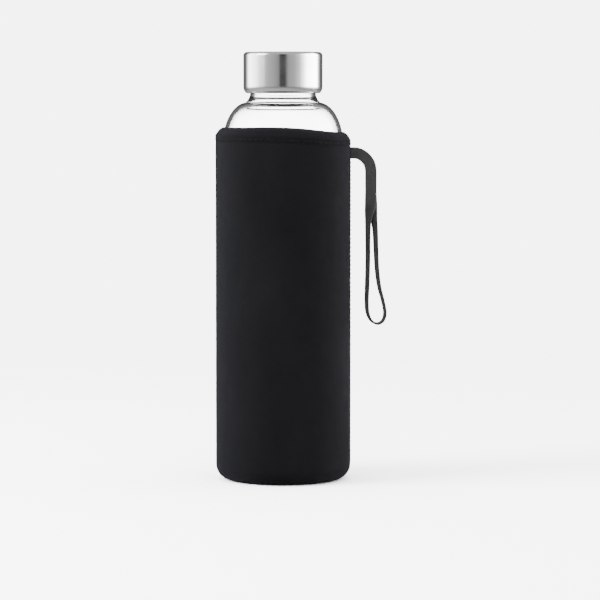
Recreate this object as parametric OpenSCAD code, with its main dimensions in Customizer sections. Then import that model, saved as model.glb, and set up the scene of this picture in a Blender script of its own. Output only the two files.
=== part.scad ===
// Screw-capped glass water bottle in a sewn neoprene sleeve with a wrist loop.
// Millimetres. Origin: centre of the sleeve's underside. +Z up, +X towards the wrist loop.

/* [Glass] */
// Outer diameter of the glass body
body_d = 65; // [60:0.5:72]
// Height of the straight glass wall's upper end above the table
shoulder_z = 180.5; // [170:0.5:190]
// Height of the shoulder's curve
shoulder_h = 23; // [20:0.5:26]
// Thickness of the glass wall
glass_wall = 2; // [1.6:0.1:2.4]
// Thickness of the glass floor
floor_t = 5.3; // [4:0.1:7]
// Outer diameter of the neck, below the thread
neck_d = 35.2; // [34.8:0.1:35.4]
// Inner diameter of the neck
bore_d = 30.6; // [29:0.1:31]

/* [Thread] */
// Rise of the thread in one turn
pitch = 4.23; // [4.1:0.01:4.4]
// Turns of thread on the neck and in the cap
thread_turns = 1.5; // [1.25:0.25:1.5]
// Height of the glass thread ridge
ridge_h = 1.25; // [1:0.05:1.3]

/* [Cap] */
// Outer diameter of the steel cap
cap_d = 42.7; // [42.5:0.1:46]
// Height of the steel cap
cap_h = 22.2; // [21.7:0.1:23.2]
// Thickness of the steel sheet
steel_t = 0.5; // [0.4:0.05:0.6]

/* [Sleeve] */
// Outer diameter of the neoprene sleeve
sleeve_d = 72.8; // [72:0.1:76]
// Height of the sleeve's top edge
sleeve_h = 190.3; // [186:0.1:192]
// Radius of the sleeve's lower edge
sleeve_edge_r = 8.1; // [7:0.1:9]
// Height of the binding tape that covers the top edge
binding_h = 7.6; // [6:0.1:9]

/* [Wrist loop] */
// Width of the webbing
webbing_w = 6.2; // [5:0.1:7]
// Thickness of the webbing
webbing_t = 1; // [0.8:0.1:1]

/* [Hidden] */
$fn = 128;

// Glass, outside and inside
body_r = body_d / 2;
inner_r = body_r - glass_wall;
neck_r = neck_d / 2;
bore_r = bore_d / 2;
glass_z = 4;                       // underside of the glass, on the sleeve's base
floor_z = glass_z + floor_t;
heel_r = 3;                        // outer corner of the glass base
inner_heel_r = 4;
push_up_h = 1.2;                   // hollow under the glass base
push_up_r = 25;
shoulder_rx = 13.5;                // half-width of the shoulder's ellipse
shoulder_cx = body_r - shoulder_rx;
neck_z = 209;                      // where the straight neck starts
flare_r = 7.53;                    // concave curve between the shoulder and the neck
flare_angle = 48;
bore_foot_z = 206.6;               // where the bore starts to open
bore_foot_r = 1.6;
inner_shoulder_rx = inner_r - shoulder_cx;
inner_shoulder_h = shoulder_h - 2.1;
lip_r = 0.9;                       // rounding of the mouth's rim

// Cap, counted down from its top
cap_foot_z = neck_z - 0.7;
cap_top_z = cap_foot_z + cap_h;
cap_r = cap_d / 2;
cap_top_r = 2;
cap_curl_r = 2.1;                  // rolled-in lower edge of the steel, its width and its height
cap_curl_h = 3.8;
curl_hole_r = 19.2;                // clears the crest of the glass thread
gap = 0.05;                        // between pieces that only touch
liner_r = cap_r - steel_t - gap;
liner_bore_r = 19.2;
liner_top_t = 1.8;
liner_top_z = cap_top_z - steel_t - gap;
liner_under_z = liner_top_z - liner_top_t;
seal_t = 1.8;
seal_top_z = liner_under_z - gap;
seal_hole_r = 13.5;
mouth_z = seal_top_z - seal_t - gap;

// Thread: both ridges have the same trapezoid, and pass each other with a gap
ridge_root_w = 2;
ridge_crest_w = 0.9;
ridge_sink = 0.3;                  // how far a ridge's root is buried in its wall
thread_z = 215.6;                  // middle of the glass ridge at its lower end
liner_thread_drop = 1.75;          // the liner's ridge bears on the glass ridge from below
liner_ridge_h = 1.3;
step_angle = 12;
run_out = 36;                      // angle over which each end fades

// Sleeve
sleeve_r = sleeve_d / 2;
sleeve_bore_r = body_r + 0.15;
base_top_z = 3.8;
base_r = sleeve_r - sleeve_edge_r;
tape_t = 0.5;
tape_r = sleeve_r + 0.25;
lip_h = 3.7;                       // height of the sleeve's rounded upper edge
lip_flat = 0.5;                    // flat at the inside of that edge
thread_d = 0.5;                    // sewing thread

// The loop leaves the side seam below the binding and swings about a vertical line there
strap_z = 178.8;                   // middle of the webbing's width where it leaves the seam
strap_hinge_x = 37.8;
seam_slot_x = 33.6;                // inner end of the slot that holds the webbing's two ends
seam_slot_w = 2.2;

// The webbing's route: x, y, z, then the way its width points, as a turn about Z and a rise.
// It starts in the seam, droops, makes a quarter turn, opens into the loop, and comes back beside itself.
route = [
    [37.8, -0.55, 178.8, 0, 90], [39.6, -0.8, 178.7, 0, 82], [42.2, -1.3, 177.8, 0, 62],
    [44.8, -1.4, 175.6, 0, 40],  [46.6, -1.4, 172.4, 0, 20], [47.3, -1.3, 168.6, 0, 5],
    [47.4, -1.15, 164, 0, 0],    [47.4, -0.75, 158, 0, 0],    [47.3, -0.6, 152, -6, 0],
    [47.1, -0.6, 147.6, -22, 0], [46.4, -0.6, 143.6, -48, 0], [45.9, -0.5, 138.6, -68, 0],
    [45.8, -0.4, 130, -75, 0],   [45.8, -0.4, 118, -77, 0],  [45.5, -0.3, 106, -78, 0],
    [45.2, -0.3, 97, -80, 0],    [45.6, -0.2, 90.4, -81, 0], [47.4, -0.1, 86, -83, 0],
    [50.8, 0, 84, -84, 0],       [53.9, 0, 85.6, -84, 0],    [55.1, 0.1, 90, -82, 0],
    [53.9, 0.2, 96.6, -81, 0],   [52, 0.3, 104, -80, 0],     [50.8, 0.4, 113, -78, 0],
    [50.2, 0.4, 124, -76, 0],    [49.8, 0.5, 134, -72, 0],   [49, 0.6, 141, -58, 0],
    [48.1, 0.6, 146.2, -30, 0],  [47.6, 0.6, 152, -6, 0],    [47.4, 0.75, 158, 0, 0],
    [47.4, 1.15, 164, 0, 0],     [47.3, 1.3, 168.6, 0, 5],    [46.6, 1.4, 172.4, 0, 20],
    [44.8, 1.4, 175.6, 0, 40],   [42.2, 1.3, 177.8, 0, 62],  [39.6, 0.8, 178.7, 0, 82],
    [37.8, 0.55, 178.8, 0, 90]
];
fine = 2;                          // rings for each stretch of the route

// ---------- Curves ----------

function arc(cx, cz, rx, rz, from, to, n = 16) =
    [for (i = [0:n]) let (a = from + (to - from) * i / n) [cx + rx * cos(a), cz + rz * sin(a)]];

function unit(v) = v / norm(v);

function spline(p, i, t) =
    let (a = p[max(i - 1, 0)], b = p[i], c = p[i + 1], d = p[min(i + 2, len(p) - 1)])
    (2 * b + (c - a) * t + (2 * a - 5 * b + 4 * c - d) * t * t + (3 * b - a - 3 * c + d) * t * t * t) / 2;

function smooth_route(p) =
    [for (i = [0:len(p) - 2]) for (k = [0:fine - 1]) spline(p, i, k / fine), p[len(p) - 1]];

function xyz(v) = [v.x, v.y, v.z];

// A closed tube from rings of points, all with the same number of points
module skin(rings) {
    n = len(rings[0]);
    m = len(rings);
    sides = [
        for (i = [0:m - 2]) for (j = [0:n - 1]) let (k = (j + 1) % n)
            each [[i * n + j, (i + 1) * n + k, i * n + k], [i * n + j, (i + 1) * n + j, (i + 1) * n + k]]
    ];
    first_end = [for (j = [1:n - 2]) [0, j, j + 1]];
    far = (m - 1) * n;
    last_end = [for (j = [1:n - 2]) [far, far + j + 1, far + j]];
    polyhedron([for (r = rings) each r], concat(sides, first_end, last_end), convexity = 10);
}

// A helical ridge with a trapezoid section, whose height fades at both ends.
// side is 1 for a ridge that stands out of a shaft and -1 for one that stands into a bore.
module thread_ridge(wall_r, height, low_z, side) {
    turn = 360 * thread_turns;
    rings = [
        for (a = [0:step_angle:turn])
            let (
                fade = min(1, a / run_out, (turn - a) / run_out),
                h = 0.02 + (height - 0.02) * fade,
                z = low_z + pitch * a / 360,
                root = wall_r - side * ridge_sink,
                crest = wall_r + side * h,
                crest_w = ridge_root_w - (ridge_root_w - ridge_crest_w) * h / height,
                section = [
                    [root, -ridge_root_w / 2], [crest, -crest_w / 2],
                    [crest, crest_w / 2], [root, ridge_root_w / 2]
                ]
            )
            [for (p = section) [p[0] * cos(a), p[0] * sin(a), z + p[1]]]
    ];
    skin(side > 0 ? [for (r = rings) [r[0], r[3], r[2], r[1]]] : rings);
}

// ---------- Glass ----------

module glass_bottle() {
    outside = concat(
        [[0, glass_z + push_up_h], [push_up_r - 3, glass_z + push_up_h - 0.3], [push_up_r, glass_z]],
        arc(body_r - heel_r, glass_z + heel_r, heel_r, heel_r, -90, 0),
        arc(shoulder_cx, shoulder_z, shoulder_rx, shoulder_h, 0, 85.4, 32),
        arc(neck_r + flare_r, neck_z, flare_r, flare_r, 180 + flare_angle, 180),
        arc(neck_r - lip_r, mouth_z - lip_r, lip_r, lip_r, 0, 90, 8)
    );
    inside = concat(
        arc(bore_r + lip_r, mouth_z - lip_r, lip_r, lip_r, 90, 180, 8),
        arc(bore_r + bore_foot_r, bore_foot_z, bore_foot_r, bore_foot_r, 180, 225, 8),
        [[bore_r + 3, shoulder_z + inner_shoulder_h + 1.2]],
        arc(shoulder_cx, shoulder_z, inner_shoulder_rx, inner_shoulder_h, 87, 0, 32),
        arc(inner_r - inner_heel_r, floor_z + inner_heel_r, inner_heel_r, inner_heel_r, 0, -90),
        [[0, floor_z]]
    );
    color([0.86, 0.93, 0.93, 0.35]) union() {
        rotate_extrude() polygon(concat(outside, inside));
        thread_ridge(neck_r, ridge_h, thread_z, 1);
    }
}

// ---------- Cap ----------

// The steel cup: outside line down from the top, rolled-in lower edge, then back up the inside
module cap_shell() {
    outside = concat(
        [[0, cap_top_z]],
        arc(cap_r - cap_top_r, cap_top_z - cap_top_r, cap_top_r, cap_top_r, 90, 0),
        arc(cap_r - cap_curl_r, cap_foot_z + cap_curl_h, cap_curl_r, cap_curl_h, 0, -90)
    );
    inner_top = cap_top_r - steel_t;
    inner_curl = cap_curl_r - steel_t;
    inside = concat(
        [[curl_hole_r, cap_foot_z], [curl_hole_r, cap_foot_z + steel_t]],
        arc(cap_r - cap_curl_r, cap_foot_z + cap_curl_h, inner_curl, cap_curl_h - steel_t, -90, 0),
        arc(cap_r - cap_top_r, cap_top_z - cap_top_r, inner_top, inner_top, 0, 90),
        [[0, cap_top_z - steel_t]]
    );
    color([0.72, 0.72, 0.73]) rotate_extrude() polygon(concat(outside, inside));
}

// The threaded plastic insert that the steel is pressed over
module cap_liner() {
    foot_z = cap_foot_z + steel_t + gap;
    foot_r = cap_curl_r - steel_t - gap;
    foot_h = cap_curl_h - steel_t - gap;
    top_r = cap_top_r - steel_t - gap;
    section = concat(
        [[0, liner_under_z], [liner_bore_r, liner_under_z], [liner_bore_r, foot_z + 1]],
        [[liner_bore_r + 0.3, foot_z + 0.4]],
        arc(liner_r - foot_r, cap_foot_z + cap_curl_h, foot_r, foot_h, -60, 0, 8),
        arc(liner_r - top_r, liner_top_z - top_r, top_r, top_r, 0, 90, 8),
        [[0, liner_top_z]]
    );
    color([0.93, 0.93, 0.9]) union() {
        rotate_extrude() polygon(section);
        thread_ridge(liner_bore_r, liner_ridge_h, thread_z - liner_thread_drop, -1);
    }
}

// The silicone ring that the mouth's rim presses into
module cap_seal() {
    color([0.9, 0.92, 0.93]) translate([0, 0, seal_top_z - seal_t]) difference() {
        cylinder(r = liner_bore_r - 0.2, h = seal_t);
        translate([0, 0, -1]) cylinder(r = seal_hole_r, h = seal_t + 2);
    }
}

// ---------- Sleeve ----------

// Outer line of the sleeve's rounded upper edge, drawn in by inset for what lies under the tape
function lip(outer_r, inset) =
    arc(sleeve_bore_r + lip_flat, sleeve_h - lip_h, outer_r - inset - sleeve_bore_r - lip_flat,
        lip_h - inset, 0, 90);

module sleeve_body() {
    corner = sleeve_bore_r - (body_r - heel_r);
    tape_foot_z = sleeve_h - binding_h - 0.1;
    section = concat(
        [[base_r + gap, base_top_z], [base_r + gap, 0.5], [base_r + gap + 0.4, 0]],
        arc(base_r + 0.5, sleeve_edge_r, sleeve_edge_r - 0.5, sleeve_edge_r, -88, 0),
        [[sleeve_r, tape_foot_z], [tape_r - tape_t - gap, tape_foot_z]],
        lip(tape_r, tape_t + gap),
        [[sleeve_bore_r + tape_t + gap, sleeve_h - tape_t - gap]],
        [[sleeve_bore_r + tape_t + gap, tape_foot_z], [sleeve_bore_r, tape_foot_z]],
        arc(body_r - heel_r, base_top_z + corner, corner, corner, 0, -90)
    );
    color([0.15, 0.15, 0.16]) difference() {
        rotate_extrude() polygon(section);
        // the two edges of the cloth meet in this shallow groove
        translate([sleeve_r - 0.35, -0.3, sleeve_edge_r]) cube([2, 0.6, tape_foot_z - sleeve_edge_r]);
        // and part here for the webbing's ends
        translate([seam_slot_x, -seam_slot_w / 2, strap_z - webbing_w / 2 - 0.1])
            cube([5, seam_slot_w, webbing_w + 0.2]);
    }
}

module sleeve_base() {
    color([0.14, 0.14, 0.15]) rotate_extrude() polygon([
        [0, 0], [base_r - 0.4, 0], [base_r, 0.5], [base_r, base_top_z], [0, base_top_z]
    ]);
}

// Knitted tape folded over the top edge
module sleeve_binding() {
    foot_z = sleeve_h - binding_h;
    section = concat(
        [[tape_r - tape_t, foot_z], [tape_r, foot_z]],
        lip(tape_r, 0),
        [[sleeve_bore_r, sleeve_h - 0.4], [sleeve_bore_r, foot_z], [sleeve_bore_r + tape_t, foot_z]],
        [[sleeve_bore_r + tape_t, sleeve_h - tape_t]],
        [for (p = [len(lip(tape_r, tape_t)) - 2:-1:0]) lip(tape_r, tape_t)[p]]
    );
    color([0.19, 0.19, 0.2]) rotate_extrude() polygon(section);
}

// One stitch of sewing thread from a to b
module stitch(a, b) {
    along = b - a;
    length = norm(along);
    turn = [0, acos(along.z / length), atan2(along.y, along.x)];
    translate(a) rotate(turn) cylinder(d = thread_d, h = length, $fn = 16);
}

module binding_stitches() {
    count = 72;
    half = 1.9;                              // half the angle that a stitch covers
    r = tape_r + 0.05;
    z = sleeve_h - binding_h + 1.1;
    color([0.24, 0.24, 0.25]) for (i = [0:count - 1])
        let (a = 360 * (i + 0.5) / count)
            stitch([r * cos(a - half), r * sin(a - half), z], [r * cos(a + half), r * sin(a + half), z]);
}

module side_seam_stitches() {
    low = sleeve_edge_r + 1;
    rise = 2.4;
    reach = 1.5;                             // how far each stitch runs past the groove
    count = floor((strap_z - webbing_w / 2 - 1 - low) / rise);
    x = sqrt(sleeve_r * sleeve_r - reach * reach);
    color([0.24, 0.24, 0.25]) for (i = [0:count - 1])
        let (z = low + i * rise, side = i % 2 == 0 ? 1 : -1)
            stitch([x, -side * reach, z + 0.3], [x, side * reach, z + rise - 0.3]);
}

module base_seam_stitches() {
    count = 60;
    half = 1.6;
    reach = 0.9;
    z = 0.55;
    color([0.24, 0.24, 0.25]) for (i = [0:count - 1])
        let (a = 360 * i / count, side = i % 2 == 0 ? reach : -reach, r0 = base_r - side, r1 = base_r + side)
            stitch([r0 * cos(a - half), r0 * sin(a - half), z], [r1 * cos(a + half), r1 * sin(a + half), z]);
}

// ---------- Wrist loop ----------

// Flat webbing along the route, with eight sides and a ring at each fine point
module webbing() {
    p = smooth_route(route);
    w = webbing_w / 2;
    t = webbing_t / 2;
    edge = 0.3;
    section = [
        [-w + edge, -t], [w - edge, -t], [w, -t + edge], [w, t - edge],
        [w - edge, t], [-w + edge, t], [-w, t - edge], [-w, -t + edge]
    ];
    rings = [
        for (i = [0:len(p) - 1])
            let (
                along = unit(xyz(p[min(i + 1, len(p) - 1)]) - xyz(p[max(i - 1, 0)])),
                turn = p[i][3],
                rise = p[i][4],
                width = [cos(turn) * cos(rise), sin(turn) * cos(rise), sin(rise)],
                across = unit(width - (width * along) * along),
                out = cross(along, across)
            )
            [for (q = section) xyz(p[i]) + q[0] * across + q[1] * out]
    ];
    skin(rings);
}

// The free part of the webbing, with a rounded heel that turns about the hinge line
module strap_loop() {
    color([0.28, 0.28, 0.28]) {
        webbing();
        translate([strap_hinge_x, 0, strap_z - webbing_w / 2]) cylinder(d = 2.1, h = webbing_w);
    }
}

// The webbing's two ends, side by side between the sleeve's edges
module strap_ends() {
    color([0.28, 0.28, 0.28]) for (side = [-1, 1])
        translate([seam_slot_x + 0.1, (side - 1) * webbing_t / 2 + side * 0.03, strap_z - webbing_w / 2])
            cube([sleeve_r - 0.3 - seam_slot_x, webbing_t, webbing_w]);
}

// Bar tacks on both sides of the slot
module strap_stitches() {
    rows = 8;
    near = 1.3;
    far = 3;
    color([0.24, 0.24, 0.25]) for (i = [0:rows - 1], side = [-1, 1])
        let (z = strap_z - webbing_w / 2 + 0.4 + i * 0.77)
            stitch([sqrt(sleeve_r * sleeve_r - near * near) + 0.05, side * near, z],
                   [sqrt(sleeve_r * sleeve_r - far * far) + 0.05, side * far, z + 0.3]);
}

glass_bottle();
cap_shell();
cap_liner();
cap_seal();
sleeve_body();
sleeve_base();
sleeve_binding();
binding_stitches();
side_seam_stitches();
base_seam_stitches();
strap_loop();
strap_ends();
strap_stitches();
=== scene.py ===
"""Glass water bottle with a steel screw cap, in its neoprene sleeve with a webbing wrist loop."""

import math

import bmesh
import bpy
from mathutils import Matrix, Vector, noise


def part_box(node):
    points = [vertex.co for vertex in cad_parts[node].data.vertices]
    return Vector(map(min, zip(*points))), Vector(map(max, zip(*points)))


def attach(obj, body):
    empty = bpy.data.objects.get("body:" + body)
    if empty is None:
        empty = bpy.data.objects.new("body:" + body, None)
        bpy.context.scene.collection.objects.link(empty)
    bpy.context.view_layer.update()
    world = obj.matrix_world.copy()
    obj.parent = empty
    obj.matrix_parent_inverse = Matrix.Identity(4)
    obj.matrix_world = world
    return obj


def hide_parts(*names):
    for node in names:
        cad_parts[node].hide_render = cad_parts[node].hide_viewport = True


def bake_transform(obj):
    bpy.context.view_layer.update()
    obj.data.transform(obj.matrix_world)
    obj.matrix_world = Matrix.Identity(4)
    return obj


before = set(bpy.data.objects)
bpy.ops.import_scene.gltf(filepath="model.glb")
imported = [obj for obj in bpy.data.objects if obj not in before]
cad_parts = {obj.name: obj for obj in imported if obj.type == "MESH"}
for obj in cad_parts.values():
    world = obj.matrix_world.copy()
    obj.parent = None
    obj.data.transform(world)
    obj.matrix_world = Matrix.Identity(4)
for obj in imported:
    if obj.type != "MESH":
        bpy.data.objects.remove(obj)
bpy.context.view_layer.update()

MM = 0.001
TAU = 2 * math.pi

# ---------------------------------------------------------------- sizes, in millimetres

BODY_R, INNER_R = 32.5, 30.5
NECK_R, BORE_R = 17.6, 15.3
GLASS_Z, FLOOR_Z = 4.0, 9.3
SHOULDER_Z, SHOULDER_H, SHOULDER_RX = 180.5, 23.0, 13.5
SHOULDER_CX = BODY_R - SHOULDER_RX
NECK_Z = 209.0
PITCH, TURNS = 4.23, 1.5
THREAD_Z, RIDGE_H = 215.6, 1.25
LINER_THREAD_Z, LINER_RIDGE_H = 213.85, 1.3

CAP_FOOT_Z, CAP_TOP_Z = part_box("cap_shell")[0][2] / MM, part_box("cap_shell")[1][2] / MM
CAP_R, STEEL_T, CAP_TOP_R, CURL_HOLE_R = 21.35, 0.5, 2.0, 19.2
CAP_CURL_R, CAP_CURL_H = 2.1, 3.8       # the rolled-in foot's width and height
LINER_BORE_R = 19.2
SEAL_LOW_Z, SEAL_TOP_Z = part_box("cap_seal")[0][2] / MM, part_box("cap_seal")[1][2] / MM
MOUTH_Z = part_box("glass_bottle")[1][2] / MM

SLEEVE_R, SLEEVE_BORE_R, SLEEVE_H, EDGE_R = 36.4, 32.65, 190.3, 8.1
BASE_R, BASE_TOP_Z = SLEEVE_R - EDGE_R, 3.8
BINDING_H, TAPE_T, TAPE_R = 7.6, 0.5, 36.65
TAPE_FOOT_Z = SLEEVE_H - BINDING_H
LIP_H, LIP_FLAT = 3.7, 0.5
HEM_STITCHES, HEM_ROW_Z = 72, TAPE_FOOT_Z + 1.1
SEAM_LOW_Z, SEAM_STEP, SEAM_REACH = EDGE_R + 1, 2.4, 1.5    # side seam's zigzag: foot, rise, half width
BASE_STITCHES = 60

WEBBING_W, WEBBING_T = 6.2, 1.0
RIB_PITCH, RING_STEP = 0.9, 0.3        # the webbing's ribs, and how closely its mesh follows the route
STRAP_Z = 178.8
# the webbing's route: x, y, z, then the way its width points, as a turn about Z and a rise
ROUTE = [
    (33.7, -0.53, 178.8, 0, 90), (36.2, -0.53, 178.8, 0, 90),
    (37.8, -0.55, 178.8, 0, 90), (39.6, -0.8, 178.7, 0, 82), (42.2, -1.3, 177.8, 0, 62),
    (44.8, -1.4, 175.6, 0, 40), (46.6, -1.4, 172.4, 0, 20), (47.3, -1.3, 168.6, 0, 5),
    (47.4, -1.15, 164, 0, 0), (47.4, -0.75, 158, 0, 0), (47.3, -0.6, 152, -6, 0),
    (47.1, -0.6, 147.6, -22, 0), (46.4, -0.6, 143.6, -48, 0), (45.9, -0.5, 138.6, -66, 0),
    (45.8, -0.4, 130, -72, 0), (45.8, -0.4, 118, -74, 0), (45.5, -0.3, 106, -75, 0),
    (45.2, -0.3, 97, -77, 0), (45.6, -0.2, 90.4, -79, 0), (47.4, -0.1, 86, -83, 0),
    (50.8, 0, 84, -84, 0), (53.9, 0, 85.6, -84, 0), (55.1, 0.1, 90, -82, 0),
    (53.9, 0.2, 96.6, -81, 0), (52, 0.3, 104, -78, 0), (50.8, 0.4, 113, -75, 0),
    (50.2, 0.4, 124, -73, 0), (49.8, 0.5, 134, -69, 0), (49, 0.6, 141, -58, 0),
    (48.1, 0.6, 146.2, -30, 0), (47.6, 0.6, 152, -6, 0), (47.4, 0.75, 158, 0, 0),
    (47.4, 1.15, 164, 0, 0), (47.3, 1.3, 168.6, 0, 5), (46.6, 1.4, 172.4, 0, 20),
    (44.8, 1.4, 175.6, 0, 40), (42.2, 1.3, 177.8, 0, 62), (39.6, 0.8, 178.7, 0, 82),
    (37.8, 0.55, 178.8, 0, 90), (36.2, 0.53, 178.8, 0, 90), (33.7, 0.53, 178.8, 0, 90),
]

# ---------------------------------------------------------------- stage settings, in metres and degrees

CAMERA_DISTANCE, CAMERA_HEIGHT, CAMERA_LENS = 1.55, 0.206, 172.422      # the lens in millimetres
CAMERA_DOWN, CAMERA_RIGHT = 4.0288, 0.33895
BACKDROP = 6.2                         # brightness of what the camera sees behind the bottle
THROUGH = 11.0                         # and of what shows through the glass
FLOOR_GAIN = 5.4                       # and of the floor
FLOOR_R, FLOOR_FADE, FLOOR_DROP = 1.2, (0.35, 1.1), 0.0002
FILL = 0.85                            # light from all round
UNDER, OVER = 0.24, 0.75               # brightness mirrored from below and from above
UNDER_FROM, OVER_FROM = (-0.03, -0.16), (0.35, 0.7)     # upward slopes over which those two take over
# what the steel mirrors in between: degrees from the front, and brightness
MIRRORED = [
    (-180, 0.16), (-136, 0.2), (-126, 2.0), (-114, 10.0), (-88, 6.5), (-72, 2.4), (-52, 0.95),
    (-24, 0.62), (-12, 0.40), (-8, 0.055), (6, 0.055), (11, 0.3), (16, 0.6), (34, 0.8), (50, 1.6),
    (62, 5.0), (76, 15.0), (114, 20.0), (124, 2.2), (136, 0.2), (180, 0.16),
]
# name, turn from the camera's side, distance, height, width and height of the panel, watts, mirrored
LIGHTS = [
    ("key_left", -70, 1.15, 0.75, (0.7, 0.7), 14.0, True),
    ("fill_right", 95, 1.35, 0.40, (0.9, 1.4), 3.0, True),
    ("top", 10, 1.5, 1.6, (1.6, 1.6), 6.0, False),
]
LIGHT_AIM = (0, 0, 0.11)


# ---------------------------------------------------------------- shader helper

class Shader:
    """A node material: constants go on the Principled shader's own sockets, patterns are linked."""

    def __init__(self, name, **sockets):
        self.mat = bpy.data.materials.new(name)
        self.mat.use_nodes = True
        self.tree = self.mat.node_tree
        self.bsdf = next(n for n in self.tree.nodes if n.type == "BSDF_PRINCIPLED")
        for key, value in sockets.items():
            self.bsdf.inputs[key.replace("_", " ")].default_value = value

    def node(self, kind, inputs=(), **props):
        n = self.tree.nodes.new(kind)
        for key, value in props.items():
            setattr(n, key, value)
        for key, value in dict(inputs).items():
            self.put(n.inputs[key], value)
        return n

    def put(self, socket, value):
        if isinstance(value, bpy.types.NodeSocket):
            self.tree.links.new(value, socket)
        else:
            socket.default_value = value

    def set(self, key, value):
        self.put(self.bsdf.inputs[key], value)

    def math(self, op, a, b=0.0, c=0.0):
        n = self.node("ShaderNodeMath", operation=op)
        for socket, value in zip(n.inputs, (a, b, c)):
            self.put(socket, value)
        return n.outputs[0]

    def times(self, a, b):
        return self.math("MULTIPLY", a, b)

    def wave(self, turns):
        """0 to 1 and back, once a turn."""
        return self.math("MULTIPLY_ADD", self.math("COSINE", self.times(turns, TAU)), 0.5, 0.5)

    def from_axis(self, x, y):
        """Distance from the Z axis."""
        return self.math("SQRT", self.math("ADD", self.times(x, x), self.times(y, y)))

    def coords(self, kind="Object"):
        return self.node("ShaderNodeTexCoord").outputs[kind]

    def split(self, vector):
        return self.node("ShaderNodeSeparateXYZ", {0: vector}).outputs

    def join(self, x, y, z):
        return self.node("ShaderNodeCombineXYZ", {0: x, 1: y, 2: z}).outputs[0]

    def scaled(self, vector, scale):
        return self.node("ShaderNodeMapping", {"Vector": vector, "Scale": scale}).outputs[0]

    def noise(self, vector, scale, detail=3.0, rough=0.55):
        return self.node("ShaderNodeTexNoise", {"Vector": vector, "Scale": scale, "Detail": detail,
                                                "Roughness": rough}).outputs["Fac"]

    def range(self, value, a, b, c, d):
        return self.node("ShaderNodeMapRange", {0: value, 1: a, 2: b, 3: c, 4: d}).outputs[0]

    def mix(self, fac, a, b):
        n = self.node("ShaderNodeMix", data_type="RGBA")
        self.put(n.inputs[0], fac)
        self.put(n.inputs[6], a)
        self.put(n.inputs[7], b)
        return n.outputs[2]

    def bump(self, height, distance, strength=1.0, under=None):
        n = self.node("ShaderNodeBump", {"Height": height, "Distance": distance, "Strength": strength})
        if under is not None:
            self.put(n.inputs["Normal"], under)
        return n.outputs[0]


def grey(v, tint=(1.0, 1.0, 1.0)):
    return (v * tint[0], v * tint[1], v * tint[2], 1.0)


# ---------------------------------------------------------------- materials

def glass_material():
    """Clear glass with faint smears and waves. Its colour is darkened where it turns away: painted shade
    that stands for the dark edge lines of thick glass."""
    s = Shader("clear_glass", Transmission_Weight=1.0, IOR=1.47)
    p = s.coords()
    smears = s.noise(s.scaled(p, (1, 1, 0.35)), 55.0, 4.0)
    s.set("Roughness", s.range(smears, 0.45, 0.8, 0.0, 0.03))
    waves = s.noise(s.scaled(p, (1, 1, 0.25)), 70.0, 1.0)
    wave_height = 0.000012
    s.set("Normal", s.bump(waves, wave_height))
    # painted shade: the colour darkens towards the grazing edges, in place of the dark edge lines
    facing = s.node("ShaderNodeLayerWeight", {"Blend": 0.5}).outputs["Facing"]
    edge = s.math("POWER", s.range(facing, 0.55, 0.92, 0.0, 1.0), 1.6)
    clear, painted_edge_shade = (0.985, 0.995, 0.99, 1), (0.09, 0.092, 0.095, 1)
    s.set("Base Color", s.mix(edge, clear, painted_edge_shade))
    return s.mat


def steel_material():
    """Brushed steel: lines round the side, rings on the flat top, and gloss drawn out across them."""
    s = Shader("brushed_steel", Metallic=1.0, Anisotropic=0.8, Anisotropic_Rotation=0.25)
    p = s.coords()
    x, y, z = s.split(p)[:3]
    along = s.math("ADD", z, s.from_axis(x, y))
    stretch, line_density = 45.0, 5200.0
    lines = s.join(s.times(x, stretch), s.times(y, stretch), s.times(along, line_density))
    fine = s.noise(lines, 1.0, 4.0, 0.7)
    broad = s.noise(s.scaled(p, (30, 30, 160)), 1.0, 2.0)
    s.set("Base Color", s.mix(fine, grey(0.66, (1, 0.99, 0.985)), grey(0.74, (1, 0.995, 0.995))))
    rough = s.math("ADD", s.range(fine, 0.3, 0.7, 0.13, 0.22), s.range(broad, 0.3, 0.7, -0.02, 0.03))
    s.set("Roughness", rough)
    line_depth = 0.000004
    s.set("Normal", s.bump(fine, line_depth, 0.35))
    tangent = s.node("ShaderNodeTangent", direction_type="RADIAL", axis="Z")
    s.set("Tangent", tangent.outputs[0])
    return s.mat


def plastic_material():
    """Milky plastic with the fine grain of its mould."""
    s = Shader("moulded_plastic", IOR=1.49, Subsurface_Weight=0.25, Subsurface_Radius=(1, 1, 0.9),
               Subsurface_Scale=0.0008)
    p = s.coords()
    grain = s.noise(p, 2600.0, 2.0)
    cloud = s.noise(p, 130.0, 3.0)
    s.set("Base Color", s.mix(cloud, (0.80, 0.80, 0.77, 1), (0.87, 0.87, 0.84, 1)))
    s.set("Roughness", s.range(grain, 0.3, 0.7, 0.36, 0.5))
    s.set("Normal", s.bump(grain, 0.00002, 0.6))
    return s.mat


def silicone_material():
    """Translucent silicone rubber, dulled by dust."""
    s = Shader("silicone", IOR=1.41, Subsurface_Weight=0.6, Subsurface_Radius=(1, 1, 1),
               Subsurface_Scale=0.0015)
    p = s.coords()
    dust = s.noise(p, 900.0, 4.0)
    s.set("Base Color", s.mix(dust, (0.74, 0.76, 0.77, 1), (0.84, 0.86, 0.87, 1)))
    s.set("Roughness", s.range(dust, 0.3, 0.7, 0.42, 0.62))
    s.set("Normal", s.bump(s.noise(p, 350.0, 2.0), 0.00003))
    return s.mat


def knit(s, uv, wale, course, lean=0.9):
    """Height of a knitted face in 0..1 from coordinates in millimetres: columns of small V stitches."""
    u, v = s.split(uv)[:2]
    across = s.math("SUBTRACT", s.math("FRACT", s.math("DIVIDE", u, wale)), 0.5)
    side = s.math("ABSOLUTE", across)
    row = s.math("ADD", s.math("DIVIDE", v, course), s.times(side, lean * 2))
    ripple = s.wave(row)
    leg = s.math("SINE", s.times(side, TAU))       # a leg's crown is midway from centre to edge
    return s.times(s.math("MULTIPLY_ADD", ripple, 0.6, 0.4), s.math("POWER", leg, 0.7))


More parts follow.
